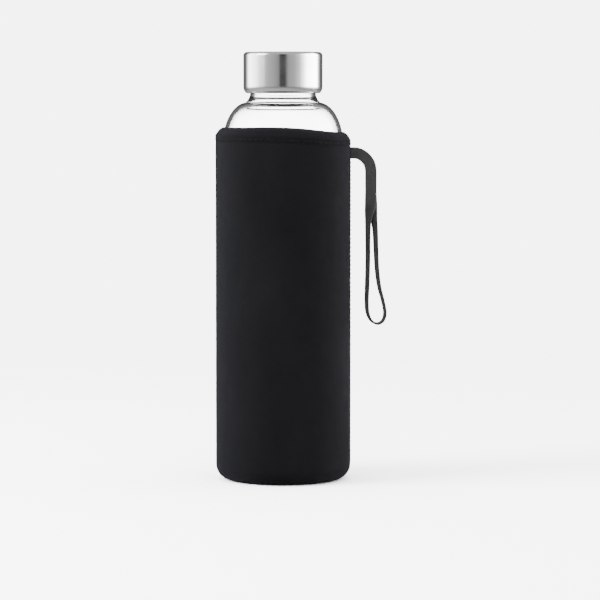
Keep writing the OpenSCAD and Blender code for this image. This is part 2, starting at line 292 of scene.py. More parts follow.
def cloth_material(name, low, high, wale, course, tint=(1.0, 1.0, 1.14)):
    """Black knit, between two shades, the darker painted into the hollows between stitches as shade:
    stitches of the given width and height in millimetres, lint, and a lighter cast in worn patches."""
    s = Shader(name, Sheen_Weight=0.1, Sheen_Roughness=0.4, Sheen_Tint=(0.7, 0.72, 0.85, 1),
               Specular_IOR_Level=0.03)
    uv = s.coords("UV")
    p = s.coords()
    loops = knit(s, uv, wale, course)
    lint = s.noise(p, 2400.0, 3.0, 0.7)
    patch = s.noise(s.scaled(p, (1, 1, 0.5)), 38.0, 4.0)
    # painted shade: the hollows of the knit get the darker colour, the crowns the lighter
    base = s.mix(loops, grey(low, tint), grey(high, tint))
    worn = s.mix(s.range(patch, 0.35, 0.75, 0.0, 0.55), base, grey(high * 1.35, tint))
    fuzz = s.range(lint, 0.66, 0.8, 0.0, 0.35)
    s.set("Base Color", s.mix(fuzz, worn, grey(high * 2.6, tint)))
    s.set("Roughness", s.range(patch, 0.3, 0.7, 0.72, 0.9))
    soft = s.bump(patch, 0.0004, 0.5)
    s.set("Normal", s.bump(s.math("ADD", loops, s.times(lint, 0.35)), 0.00012, 0.8, soft))
    return s.mat


def webbing_material():
    """Ribbed weave: ribs across the width, each crossed by fine warp ends that go over and under."""
    s = Shader("webbing", Sheen_Weight=0.3, Sheen_Roughness=0.4, Sheen_Tint=(0.85, 0.85, 0.87, 1),
               Specular_IOR_Level=0.3)
    u, v = s.split(s.coords("UV"))[:2]
    end_width = 0.36
    end = s.math("DIVIDE", u, end_width)
    odd = s.times(s.math("FLOOR", end), 0.5)
    over = s.wave(s.math("ADD", s.math("DIVIDE", v, RIB_PITCH), odd))
    crown = s.math("SINE", s.times(s.math("FRACT", end), math.pi))
    weave = s.times(s.math("MULTIPLY_ADD", over, 0.75, 0.25), crown)
    fibre = s.noise(s.join(s.times(u, 16.0), s.times(v, 2.2), 0.0), 1.0, 3.0)
    # painted shade: the weave is darker between the warp ends and where they dip under, lighter on their
    # crowns
    shade = s.mix(weave, grey(0.042), grey(0.10))
    s.set("Base Color", s.mix(s.range(fibre, 0.35, 0.7, 0.0, 0.5), shade, grey(0.13)))
    s.set("Roughness", s.range(fibre, 0.3, 0.7, 0.6, 0.8))
    s.set("Normal", s.bump(s.math("ADD", weave, s.times(fibre, 0.25)), 0.00016, 0.9))
    return s.mat


def thread_material():
    """Two-ply sewing thread: the plies show as slanting bands along each stitch."""
    s = Shader("sewing_thread", Sheen_Weight=0.1, Sheen_Roughness=0.35, Specular_IOR_Level=0.05)
    u, v = s.split(s.coords("UV"))[:2]
    slant = s.math("ADD", u, s.times(v, 1.6))
    ply = s.math("MULTIPLY_ADD", s.math("SINE", s.times(slant, TAU)), 0.5, 0.5)
    fibre = s.noise(s.coords(), 9000.0, 2.0)
    tint = (1, 1, 1.1)
    # painted shade: the groove between the plies gets the darker colour
    s.set("Base Color", s.mix(ply, grey(0.008, tint), grey(0.02, tint)))
    s.set("Roughness", s.range(fibre, 0.3, 0.7, 0.5, 0.7))
    s.set("Normal", s.bump(s.math("ADD", ply, s.times(fibre, 0.3)), 0.00006, 0.9))
    return s.mat


# ---------------------------------------------------------------- mesh helpers

def arc(cx, cz, rx, rz, start, end, n=16):
    """n + 1 points in (r, z), from start to end in degrees."""
    return [(cx + rx * math.cos(math.radians(start + (end - start) * i / n)),
             cz + rz * math.sin(math.radians(start + (end - start) * i / n))) for i in range(n + 1)]


def dense(points, step):
    """The same line with points at most step apart."""
    out = [points[0]]
    for a, b in zip(points, points[1:]):
        n = max(1, math.ceil(math.dist(a, b) / step))
        out += [tuple(p + (q - p) * k / n for p, q in zip(a, b)) for k in range(1, n + 1)]
    return out


def finish_mesh(name, bm, material, sharp=40):
    mesh = bpy.data.meshes.new(name)
    bm.to_mesh(mesh)
    bm.free()
    mesh.polygons.foreach_set("use_smooth", [True] * len(mesh.polygons))
    if sharp:
        mesh.set_sharp_from_angle(angle=math.radians(sharp))
    mesh.materials.append(material)
    obj = bpy.data.objects.new(name, mesh)
    bpy.context.scene.collection.objects.link(obj)
    return obj


def lathe(name, profile, material, angles=192, shape=None, sharp=40, u_radius=None):
    """Turns a line of (r, z) about Z. Ends on the axis become poles, and any other line is closed on
    itself. shape(angle, r, z, j) may move a point, and gives its (r, z) in return. UVs are in
    millimetres."""
    if isinstance(angles, int):
        angles = [TAU * i / angles for i in range(angles)]
    bm = bmesh.new()
    uv = bm.loops.layers.uv.new("UVMap")
    open_line = profile[0][0] < 1e-6 and profile[-1][0] < 1e-6
    rows, lengths, run = [], [], 0.0
    for j, (r, z) in enumerate(profile):
        if j:
            run += math.dist(profile[j - 1], (r, z))
        lengths.append(run)
        if r < 1e-6:
            rr, zz = shape(0.0, r, z, j) if shape else (r, z)
            rows.append([bm.verts.new((0, 0, zz * MM))] * len(angles))
            continue
        row = []
        for a in angles:
            rr, zz = shape(a, r, z, j) if shape else (r, z)
            row.append(bm.verts.new((rr * math.cos(a) * MM, rr * math.sin(a) * MM, zz * MM)))
        rows.append(row)
    last_run = run if open_line else run + math.dist(profile[-1], profile[0])
    pairs = [(j, j + 1) for j in range(len(rows) - 1)] + ([] if open_line else [(len(rows) - 1, 0)])
    ref = u_radius or max(r for r, _ in profile)
    count = len(angles)
    for j, k in pairs:
        v0, v1 = lengths[j], lengths[k] if k else last_run
        for i in range(count):
            m = (i + 1) % count
            a0, a1 = angles[i], angles[m] if m else TAU
            corners = [(rows[j][i], a0, v0), (rows[j][m], a1, v0),
                       (rows[k][m], a1, v1), (rows[k][i], a0, v1)]
            seen, kept = set(), []
            for c in corners:
                if c[0] not in seen:
                    seen.add(c[0])
                    kept.append(c)
            if len(kept) < 3:
                continue
            face = bm.faces.new([c[0] for c in kept])
            for loop, c in zip(face.loops, kept):
                loop[uv].uv = (c[1] * ref, c[2])
    bmesh.ops.recalc_face_normals(bm, faces=bm.faces)
    return finish_mesh(name, bm, material, sharp)


def add_tube(bm, uv, points, frames, section):
    """A closed tube: section(i) gives the ring's (across, out) offsets in millimetres at point i."""
    rings = []
    for i, (p, (across, out)) in enumerate(zip(points, frames)):
        rings.append([bm.verts.new((p + across * a + out * o) * MM) for a, o in section(i)])
    n = len(rings[0])
    run = 0.0
    for i in range(len(rings) - 1):
        nxt = run + (points[i + 1] - points[i]).length
        for j in range(n):
            k = (j + 1) % n
            face = bm.faces.new([rings[i][j], rings[i][k], rings[i + 1][k], rings[i + 1][j]])
            for loop, (a, b) in zip(face.loops, [(j, run), (j + 1, run), (j + 1, nxt), (j, nxt)]):
                loop[uv].uv = (a / n, b)
        run = nxt
    bm.faces.new(rings[0][::-1])
    bm.faces.new(rings[-1])
    return rings


def add_stitch(bm, uv, a, b, up_a, up_b, d=0.5, rise=0.06, sink=0.35, sides=8, steps=8):
    """One stitch of thread d thick between two needle holes: it dives in by sink at both ends, and stands
    proud by rise in the middle."""
    a, b = Vector(a), Vector(b)
    along = (b - a).normalized()
    points, frames = [], []
    for i in range(steps + 1):
        t = i / steps
        up = (Vector(up_a).lerp(Vector(up_b), t)).normalized()
        dive = abs(2 * t - 1) ** 3
        points.append(a.lerp(b, t) + up * (rise * (1 - dive) - sink * dive))
        side = along.cross(up).normalized()
        frames.append((side, up))

    def section(i):
        t = i / steps
        r = d / 2 * (0.8 + 0.2 * math.sin(math.pi * t))
        return [(r * math.cos(TAU * k / sides), r * math.sin(TAU * k / sides)) for k in range(sides)]

    add_tube(bm, uv, points, frames, section)


def around(r, a, z):
    """The point at radius r, angle a and height z."""
    return (r * math.cos(a), r * math.sin(a), z)


def outward(a):
    return (math.cos(a), math.sin(a), 0)


def smooth(t):
    """0 below 0, 1 above 1, and an easy curve between."""
    t = min(1.0, max(0.0, t))
    return t * t * (3 - 2 * t)


def bell(d, width):
    """1 at d = 0, and 0.37 at width."""
    return math.exp(-(d / width) ** 2)


def wobble(x, y, z, scale=1.0):
    """Smooth noise about 0."""
    return noise.noise(Vector((x * scale, y * scale, z * scale)))


def signed(a):
    """The angle from +X, from -pi to pi."""
    return (a + math.pi) % TAU - math.pi


# ---------------------------------------------------------------- glass

def ridge(angle, z, low_z, height):
    """Height of a rounded helical ridge at this point of the neck or of the cap's bore."""
    run_out, half, flank = 0.6, 1.05, 0.6       # radians, and millimetres along Z
    best = 0.0
    for turn in range(3):
        a = angle + TAU * turn
        if a > TAU * TURNS:
            continue
        fade = min(1.0, a / run_out, (TAU * TURNS - a) / run_out)
        d = abs(z - (low_z + PITCH * a / TAU))
        best = max(best, height * smooth(fade) * smooth((half - d) / flank))
    return best


def make_glass(material):
    flare_r, flare_a = 7.53, 48                 # the neck's foot: radius and sweep of its curve
    foot_z, foot_r = 206.6, 1.6                 # where the bore starts to open
    lip, heel, hollow = 0.9, 3, 4               # radii of the mouth's rim, the heel and its inner corner
    row = 0.22                                  # spacing of the rings that carry the thread
    unevenness = 0.05
    punt = [(0, 1.2), (8, 1.15), (16, 1.05), (22, 0.8), (24.2, 0.35)]      # the base is pushed up
    outside = ([(r, GLASS_Z + h) for r, h in punt]
               + arc(26.2, GLASS_Z + 0.9, 0.9, 0.9, -140, -90, 5)
               + arc(BODY_R - heel, GLASS_Z + heel, heel, heel, -90, 0, 12)
               + dense([(BODY_R, GLASS_Z + heel), (BODY_R, SHOULDER_Z)], 6.0)[1:-1]
               + arc(SHOULDER_CX, SHOULDER_Z, SHOULDER_RX, SHOULDER_H, 0, 85.4, 48)
               + arc(NECK_R + flare_r, NECK_Z, flare_r, flare_r, 180 + flare_a, 180, 14))
    count = int((MOUTH_Z - lip - NECK_Z - 0.6) / row)
    rows = [(NECK_R, NECK_Z + 0.6 + row * i) for i in range(count)]
    rim = (arc(NECK_R - lip, MOUTH_Z - lip, lip, lip, 0, 90, 8)
           + arc(BORE_R + lip, MOUTH_Z - lip, lip, lip, 90, 180, 8))
    funnel = [(BORE_R + foot_r * (1 - math.sqrt(0.5)), foot_z - foot_r * math.sqrt(0.5)),
              (BORE_R + 3, SHOULDER_Z + 22.1)]
    inside = (arc(BORE_R + foot_r, foot_z, foot_r, foot_r, 180, 225, 8)
              + dense(funnel, 0.5)[1:]
              + arc(SHOULDER_CX, SHOULDER_Z, INNER_R - SHOULDER_CX, SHOULDER_H - 2.1, 87, 0, 48)
              + arc(INNER_R - hollow, FLOOR_Z + hollow, hollow, hollow, 0, -90, 12)
              + [(18, FLOOR_Z + 0.15), (8, FLOOR_Z + 0.4), (0, FLOOR_Z + 0.45)])
    low = len(outside)
    high = low + len(rows)

    def shape(a, r, z, j):
        if low <= j < high:
            return r + ridge(a, z, THREAD_Z, RIDGE_H), z
        if j < low and r > NECK_R + 8:          # the wall is never quite true, away from heel and neck
            share = smooth((z - GLASS_Z - 2) / 8) * smooth((198 - z) / 20)
            return r + unevenness * share * wobble(math.cos(a), math.sin(a), z * 0.02, 1.3), z
        return r, z

    return lathe("glass", outside + rows + rim + inside, material, 224, shape, sharp=0)


# ---------------------------------------------------------------- cap

def make_cap_shell(material):
    t = STEEL_T
    top = ([(0, CAP_TOP_Z), (10, CAP_TOP_Z), (CAP_R - CAP_TOP_R - 1.2, CAP_TOP_Z)]
           + arc(CAP_R - CAP_TOP_R, CAP_TOP_Z - CAP_TOP_R, CAP_TOP_R, CAP_TOP_R, 90, 0, 14))
    side = dense([(CAP_R, CAP_TOP_Z - CAP_TOP_R - 0.6), (CAP_R, CAP_FOOT_Z + CAP_CURL_H + 0.4)], 2.0)
    foot = arc(CAP_R - CAP_CURL_R, CAP_FOOT_Z + CAP_CURL_H, CAP_CURL_R, CAP_CURL_H, 0, -84, 18)
    hem = arc(CURL_HOLE_R + t / 2, CAP_FOOT_Z + t / 2, t / 2, t / 2, -100, -260, 8)
    inner = (arc(CAP_R - CAP_CURL_R, CAP_FOOT_Z + CAP_CURL_H, CAP_CURL_R - t, CAP_CURL_H - t, -80, 0, 12)
             + arc(CAP_R - CAP_TOP_R, CAP_TOP_Z - CAP_TOP_R, CAP_TOP_R - t, CAP_TOP_R - t, 0, 90, 10)
             + [(0, CAP_TOP_Z - t)])
    return lathe("cap_steel", top + side + foot + hem + inner, material, 224)


def make_cap_liner(material):
    low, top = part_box("cap_liner")[0][2] / MM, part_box("cap_liner")[1][2] / MM
    gap, row = 0.05, 0.22                       # clearance in the steel, and spacing of the thread's rings
    outer = CAP_R - STEEL_T - gap
    foot, foot_h = CAP_CURL_R - STEEL_T - gap, CAP_CURL_H - STEEL_T - gap
    top_r = CAP_TOP_R - STEEL_T - gap
    under = SEAL_TOP_Z + gap
    ceiling = ([(0, under), (6, under), (LINER_BORE_R - 0.3, under)]
               + arc(LINER_BORE_R - 0.3, under - 0.3, 0.3, 0.3, 90, 0, 4))
    count = int((under - low - 0.9) / row)
    bore = [(LINER_BORE_R, low + 0.7 + row * i) for i in range(count)][::-1]
    profile = (ceiling + bore + [(LINER_BORE_R + 0.08, low + 0.3), (LINER_BORE_R + 0.3, low)]
               + arc(outer - foot, CAP_FOOT_Z + CAP_CURL_H, foot, foot_h, -60, 0, 10)
               + arc(outer - top_r, top - top_r, top_r, top_r, 0, 90, 8)
               + [(0, top)])
    first = len(ceiling)
    last = first + len(bore)

    def shape(a, r, z, j):
        if first <= j < last:
            return r - ridge(a, z, LINER_THREAD_Z, LINER_RIDGE_H), z
        return r, z

    return lathe("cap_liner_visual", profile, material, 192, shape)


def make_seal(material):
    hole, outer, corner = 13.5, LINER_BORE_R - 0.2, 0.3
    press = 0.16                       # the mouth's rim has pressed a shallow ring into the underside
    profile = (arc(hole + corner, SEAL_TOP_Z - corner, corner, corner, 180, 90, 5)
               + arc(outer - corner, SEAL_TOP_Z - corner, corner, corner, 90, 0, 5)
               + arc(outer - corner, SEAL_LOW_Z + corner, corner, corner, 0, -90, 5)
               + [(NECK_R + 0.2, SEAL_LOW_Z), (NECK_R - 0.3, SEAL_LOW_Z + press),
                  (BORE_R + 0.3, SEAL_LOW_Z + press), (BORE_R - 0.2, SEAL_LOW_Z)]
               + arc(hole + corner, SEAL_LOW_Z + corner, corner, corner, -90, -180, 5))
    return lathe("seal_ring", profile, material, 160)


# ---------------------------------------------------------------- sleeve

def hem_drop(a):
    """How far the sleeve's top edge dips towards the side seam, in millimetres."""
    depth, half_width = 2.6, 1.18               # millimetres, radians
    return depth * math.exp(-abs(signed(a) / half_width) ** 3)


def seam_angles(count, fine_step, fine_half):
    """Angles round the sleeve, dense about the side seam at +X."""
    near = int(fine_half / fine_step)
    close = [i * fine_step for i in range(-near, near + 1)]
    rest = [close[-1] + (TAU - 2 * close[-1]) * i / count for i in range(1, count)]
    return sorted(a % TAU for a in close + rest)


def lip(outer_r, inset, n=14):
    """The hem's rounded edge, from the outside to its top."""
    return arc(SLEEVE_BORE_R + LIP_FLAT, SLEEVE_H - LIP_H, outer_r - inset - SLEEVE_BORE_R - LIP_FLAT,
               LIP_H - inset, 0, 90, n)


def glass_out(z):
    """The glass's outer radius at height z, from its straight wall up over the shoulder."""
    t = max(0.0, (z - SHOULDER_Z) / SHOULDER_H)
    return SHOULDER_CX + SHOULDER_RX * math.sqrt(max(0.0, 1 - t * t))


def top_drop(a, z):
    """How far the sleeve is lowered at this height: the hem's dip fades out down the sleeve."""
    fade_z, fade_h = 120, 65
    return hem_drop(a) * smooth((z - fade_z) / fade_h)


def make_sleeve_body(material):
    gap = 0.05
    corner = SLEEVE_BORE_R - (BODY_R - 3)
    foot = TAPE_FOOT_Z - 0.1
    folded_in = SLEEVE_BORE_R + TAPE_T + gap    # the tape folds over the edge, and lies inside here
    outer = [(BASE_R + gap, 0.9), (BASE_R + 0.15, 0.42), (BASE_R + 0.5, 0.12), (BASE_R + 1.1, 0.0)]
    outer += arc(BASE_R + 0.5, EDGE_R, EDGE_R - 0.5, EDGE_R, -84, 0, 18)
    outer += dense([(SLEEVE_R, EDGE_R), (SLEEVE_R, foot)], 2.2)[1:]
    tuck = [(TAPE_R - TAPE_T - gap, foot)] + lip(TAPE_R, TAPE_T + gap, 10)
    tuck += [(folded_in, SLEEVE_H - TAPE_T - gap), (folded_in, foot)]
    inner = (dense([(SLEEVE_BORE_R, foot), (SLEEVE_BORE_R, 12.0)], 6.0)
             + arc(BODY_R - 3, BASE_TOP_Z + corner, corner, corner, 0, -90, 10)
             + [(BASE_R + gap, BASE_TOP_Z)])
    n_out = len(outer)
    uneven, rough = 0.13, 0.05                  # broad and close unevenness of the wall
    join_depth, edge_rise, pucker = 0.42, 0.10, 0.10
    slot_depth, slot_rise = 1.1, 0.22           # the wall opens where the webbing goes in
    gather, tape_pull = 0.07, 0.16

    def side_seam(y, r, z):
        """The radius near the side seam, at y across it."""
        r -= join_depth * bell(y, 0.32)
        r += edge_rise * bell(abs(y) - 1.0, 0.55)
        if SEAM_LOW_Z < z < STRAP_Z - 4:
            tug = 0.5 + 0.5 * math.cos(TAU * (z - SEAM_LOW_Z) / SEAM_STEP)
            r -= pucker * bell(abs(y) - SEAM_REACH, 0.3) * tug
        slot = smooth((3.5 - abs(z - STRAP_Z)) / 0.5)
        r -= slot * slot_depth * smooth((1.35 - abs(y)) / 0.35)
        return r + slot * slot_rise * bell(abs(y) - 1.9, 0.5)

    def shape(a, r, z, j):
        lower = top_drop(a, z)
        if j >= n_out:
            return hug(r, z, lower) if z > foot else (r, z - lower)
        s = signed(a)
        y = r * math.sin(s)
        x3, y3 = math.cos(a), math.sin(a)
        broad = uneven * wobble(x3 * 2.2, y3 * 2.2, z * 0.012)
        close = rough * wobble(x3 * 5, y3 * 5, z * 0.06)
        r += smooth((z - 1) / 6) * (broad + close)
        if abs(s) < 0.3 and z > 3:
            r = side_seam(y, r, z)
        if 0.05 < z < 4:                        # small gathers along the base seam
            z += gather * math.cos(BASE_STITCHES * a) * smooth((r - BASE_R) / 0.8) * smooth((4 - z) / 3)
        r -= tape_pull * bell(z - foot, 1.6)
        return r, max(z, 0.0) - lower

    return lathe("sleeve_shell", outer + tuck + inner, material, seam_angles(300, 0.0042, 0.11), shape,
                 u_radius=SLEEVE_R)


def make_sleeve_base(material):
    profile = ([(0, 0.25), (8, 0.22), (16, 0.12), (24, 0.02), (BASE_R - 1.4, 0.0), (BASE_R - 0.6, 0.1),
                (BASE_R - 0.15, 0.42), (BASE_R, 0.9), (BASE_R, BASE_TOP_Z - 0.25),
                (BASE_R - 0.25, BASE_TOP_Z)]
               + [(24, BASE_TOP_Z - 0.05), (12, BASE_TOP_Z - 0.1), (0, BASE_TOP_Z - 0.1)])

    def shape(a, r, z, j):
        if 1 <= j <= 4:                         # the underside
            bumps = wobble(r * math.cos(a) * 0.1, r * math.sin(a) * 0.1, 3.0)
            z = max(0.0, z + 0.05 * bumps * smooth(r / 6))
        return r, z

    obj = lathe("sleeve_floor", profile, material, 160, shape, u_radius=SLEEVE_R)
    layer = obj.data.uv_layers[0].data
    for loop in obj.data.loops:                    # cut from flat cloth, so its knit runs straight across
        co = obj.data.vertices[loop.vertex_index].co
        layer[loop.index].uv = (co.x / MM, co.y / MM)
    return obj


def hug(r, z, drop):
    """Draws the hem in so that its inner edge lies on the glass, and slopes it down to the outside.
    drop is how far the hem dips here."""
    top, slope = 0.1, 2.2                       # how far the inner and the outer edge are lowered
    share = max(0.0, min(1.0, (TAPE_R - r) / (TAPE_R - SLEEVE_BORE_R)))
    z -= drop + (top + slope * (1 - share) ** 1.5) * smooth((z - SLEEVE_H + LIP_H + 2.0) / 4.5)
    room = SLEEVE_BORE_R - 0.15 - glass_out(z)
    return r - room * share, z


def make_binding(material):
    face = dense([(TAPE_R, TAPE_FOOT_Z + 0.35), (TAPE_R, SLEEVE_H - LIP_H - 0.2)], 0.6)
    outer = ([(TAPE_R - TAPE_T, TAPE_FOOT_Z), (TAPE_R - 0.25, TAPE_FOOT_Z - 0.02),
              (TAPE_R - 0.05, TAPE_FOOT_Z + 0.12)] + face + lip(TAPE_R, 0, 18))
    profile = (outer + arc(SLEEVE_BORE_R + 0.45, SLEEVE_H - 0.45, 0.45, 0.45, 90, 180, 5)
               + dense([(SLEEVE_BORE_R, SLEEVE_H - 1.0), (SLEEVE_BORE_R, TAPE_FOOT_Z)], 1.2)
               + [(SLEEVE_BORE_R + TAPE_T, TAPE_FOOT_Z), (SLEEVE_BORE_R + TAPE_T, SLEEVE_H - TAPE_T)]
               + lip(TAPE_R, TAPE_T, 14)[-2::-1])
    n_out = len(outer)
    uneven, sunk, hole_depth, ripple = 0.05, 0.15, 0.20, 0.10

    def shape(a, r, z, j):
        drop = top_drop(a, z)
        if j < n_out:
            x3, y3 = math.cos(a), math.sin(a)
            swell = uneven * wobble(x3 * 4, y3 * 4, z * 0.2)
            phase = (a * HEM_STITCHES / TAU) % 1.0
            at_hole = bell(min(phase, 1 - phase), 0.16)
            hole = bell(z - HEM_ROW_Z, 0.45) * (0.45 + 0.55 * at_hole)
            r += swell - hole_depth * hole - sunk
            z += ripple * wobble(x3 * 6, y3 * 6, 9.0) * smooth((z - TAPE_FOOT_Z) / 3)
        return hug(r, z, drop)

    return lathe("hem_binding", profile, material, 432, shape, u_radius=SLEEVE_R)


def make_binding_stitches(material):
    bm = bmesh.new()
    uv = bm.loops.layers.uv.new("UVMap")
    half, r = math.radians(1.9), TAPE_R - 0.13
    for i in range(HEM_STITCHES):
        a = TAU * (i + 0.5) / HEM_STITCHES
        hand = 0.05 * math.sin(7.3 * i)         # the row is never quite level
        ends = [(around(r, b, HEM_ROW_Z - top_drop(b, HEM_ROW_Z) + hand), outward(b))
                for b in (a - half, a + half)]
        add_stitch(bm, uv, ends[0][0], ends[1][0], ends[0][1], ends[1][1])
    return finish_mesh("hem_stitching", bm, material)


def make_side_stitches(material):
    bm = bmesh.new()
    uv = bm.loops.layers.uv.new("UVMap")
    count = int((STRAP_Z - WEBBING_W / 2 - 1 - SEAM_LOW_Z) / SEAM_STEP)
    half = math.asin(SEAM_REACH / SLEEVE_R)
    for i in range(count):
        side = 1 if i % 2 == 0 else -1
        z = SEAM_LOW_Z + i * SEAM_STEP
        ends = [(around(SLEEVE_R, b, zz - top_drop(b, zz)), outward(b))
                for b, zz in ((-side * half, z + 0.3), (side * half, z + SEAM_STEP - 0.3))]
        add_stitch(bm, uv, ends[0][0], ends[1][0], ends[0][1], ends[1][1], rise=0.12)
    return finish_mesh("side_stitching", bm, material)


def make_base_stitches(material):
    bm = bmesh.new()
    uv = bm.loops.layers.uv.new("UVMap")
    half, reach, z, down = math.radians(1.6), 0.9, 0.42, (0, 0, -1)
    for i in range(BASE_STITCHES):
        a = TAU * i / BASE_STITCHES
        side = reach if i % 2 == 0 else -reach
        add_stitch(bm, uv, around(BASE_R - side, a - half, z), around(BASE_R + side, a + half, z),
                   down, down, rise=0.08, sink=0.3)
    return finish_mesh("base_stitching", bm, material)


def make_bar_tacks(material):
    bm = bmesh.new()
    uv = bm.loops.layers.uv.new("UVMap")
    rows, row_step, near, far, r = 8, 0.77, 1.3, 3.0, SLEEVE_R + 0.1
    for side in (-1, 1):
        a, b = side * math.asin(near / SLEEVE_R), side * math.asin(far / SLEEVE_R)
        for i in range(rows):
            z = STRAP_Z - WEBBING_W / 2 + 0.4 + i * row_step
            z -= top_drop(0.0, z)
            add_stitch(bm, uv, around(r, a, z), around(r, b, z + 0.3), outward(a), outward(b), rise=0.14)
    return finish_mesh("bar_tacks", bm, material)


# ---------------------------------------------------------------- wrist loop

def catmull(points, steps):
    """A smooth line through the points, with this many steps between each two."""
    out = []
    for i in range(len(points) - 1):
        a, b = points[max(i - 1, 0)], points[i]
        c, d = points[i + 1], points[min(i + 2, len(points) - 1)]
        for k in range(steps):
            t = k / steps
            out.append(tuple((2 * q + (r - p) * t + (2 * p - 5 * q + 4 * r - s) * t * t
                              + (3 * q - p - 3 * r + s) * t ** 3) / 2 for p, q, r, s in zip(a, b, c, d)))
    out.append(tuple(float(v) for v in points[-1]))
    return out


def even(path, step):
    """The same path with its points a fixed distance apart."""
    out, left = [path[0]], step
    for a, b in zip(path, path[1:]):
        d = math.dist(a[:3], b[:3])
        at = 0.0
        while d - at >= left:
            at += left
            out.append(tuple(p + (q - p) * at / d for p, q in zip(a, b)))
            left = step
        left -= d - at
    if math.dist(out[-1][:3], path[-1][:3]) < step / 2:
        out.pop()
    out.append(path[-1])
    return out


def make_strap(material):
    """The webbing along its route. Gives the piece, the points it follows and its length, in metres."""
    drop = top_drop(0.0, STRAP_Z)
    route = [(x, y, z - drop * smooth((z - 160) / 18), t, e) for x, y, z, t, e in ROUTE]
    path = even(catmull(route, 12), RING_STEP)
    points = [Vector(p[:3]) for p in path]
    frames = []
    for i, p in enumerate(path):
        along = (points[min(i + 1, len(points) - 1)] - points[max(i - 1, 0)]).normalized()
        turn, rise = math.radians(p[3]), math.radians(p[4])
        width = Vector((math.cos(turn) * math.cos(rise), math.sin(turn) * math.cos(rise), math.sin(rise)))
        across = (width - along * width.dot(along)).normalized()
        frames.append((across, along.cross(across)))
    columns = 13
    w, t = WEBBING_W / 2, WEBBING_T / 2

    def section(i):
        run = i * RING_STEP
        out = []
        for face in (1, -1):
            for c in range(columns):
                f = -1 + 2 * c / (columns - 1)
                f *= -face
                edge = 0.3 if abs(f) > 0.95 else 1.0             # thinner at the very edge
                rib = 0.06 * math.cos(TAU * run / RIB_PITCH + (math.pi if c % 2 else 0.0))
                hem = 0.08 * bell(abs(f) - 0.84, 0.08)           # and thicker just inside it
                out.append((f * w, face * (t * edge ** 0.35 * 1.02 + (rib + hem) * edge)))
        return out

    bm = bmesh.new()
    uv = bm.loops.layers.uv.new("UVMap")
    rings = add_tube(bm, uv, points, frames, section)
    n = len(rings[0])
    # UVs in millimetres: across the width, and along the webbing
    index = {v: (i, j) for i, ring in enumerate(rings) for j, v in enumerate(ring)}
    for face in bm.faces:
        for loop in face.loops:
            i, j = index[loop.vert]
            f = j % columns / (columns - 1)
            loop[uv].uv = (f * WEBBING_W, i * RING_STEP)
    bmesh.ops.remove_doubles(bm, verts=bm.verts, dist=0.00001)
    bmesh.ops.recalc_face_normals(bm, faces=bm.faces)
    obj = finish_mesh("wrist_strap", bm, material, sharp=0)
    length = sum((b - a).length for a, b in zip(points, points[1:])) * MM
    return obj, [tuple(p * MM) for p in points[:-3:4]] + [tuple(points[-1] * MM)], length


# ---------------------------------------------------------------- floor, light, camera

def make_stage():
    """A pale round floor that fades into the surroundings. The camera sees it overexposed, as white
    studio paper is, while the light that it throws back on the bottle stays that of light grey paper."""
    s = Shader("studio_floor", Specular_IOR_Level=0.1)
    p = s.coords()
    s.set("Base Color", s.mix(s.noise(p, 3.0, 3.0), grey(0.46), grey(0.5)))
    s.set("Roughness", s.range(s.noise(p, 60.0, 2.0), 0.3, 0.7, 0.7, 0.85))
    x, y = s.split(p)[:2]
    radius = s.from_axis(x, y)
    path = s.node("ShaderNodeLightPath").outputs
    straight = s.math("LESS_THAN", path["Glossy Depth"], 0.5)
    unbounced = s.math("MAXIMUM", path["Is Camera Ray"], path["Is Transmission Ray"])
    looking = s.times(unbounced, straight)
    bright = s.node("ShaderNodeBsdfDiffuse", {"Color": grey(FLOOR_GAIN)}).outputs[0]
    clear = s.node("ShaderNodeBsdfTransparent").outputs[0]
    seen = s.node("ShaderNodeMixShader", {0: looking, 1: s.bsdf.outputs[0], 2: bright}).outputs[0]
    fade = s.range(radius, *FLOOR_FADE, 0.0, 1.0)
    faded = s.node("ShaderNodeMixShader", {0: fade, 1: seen, 2: clear}).outputs[0]
    out = next(n for n in s.tree.nodes if n.type == "OUTPUT_MATERIAL")
    s.put(out.inputs["Surface"], faded)
    bm = bmesh.new()
    bmesh.ops.create_circle(bm, cap_ends=True, segments=96, radius=FLOOR_R)
    floor = finish_mesh("floor", bm, s.mat, sharp=0)
    floor.location.z = -FLOOR_DROP                # just clear of the sleeve's underside


def area_light(name, azimuth, distance, height, size, energy, mirrored):
    """A softbox. Azimuth 0 is on the camera's side of the bottle, and 90 is to its right."""
    light = bpy.data.lights.new(name, "AREA")
    light.shape = "RECTANGLE"
    light.size, light.size_y = size
    light.energy = energy
    obj = bpy.data.objects.new(name, light)
    a = math.radians(azimuth)
    obj.location = (distance * math.sin(a), -distance * math.cos(a), height)
    obj.rotation_euler = (Vector(LIGHT_AIM) - obj.location).to_track_quat("-Z", "Y").to_euler()
    obj.visible_camera = False
    obj.visible_glossy = mirrored
    bpy.context.scene.collection.objects.link(obj)


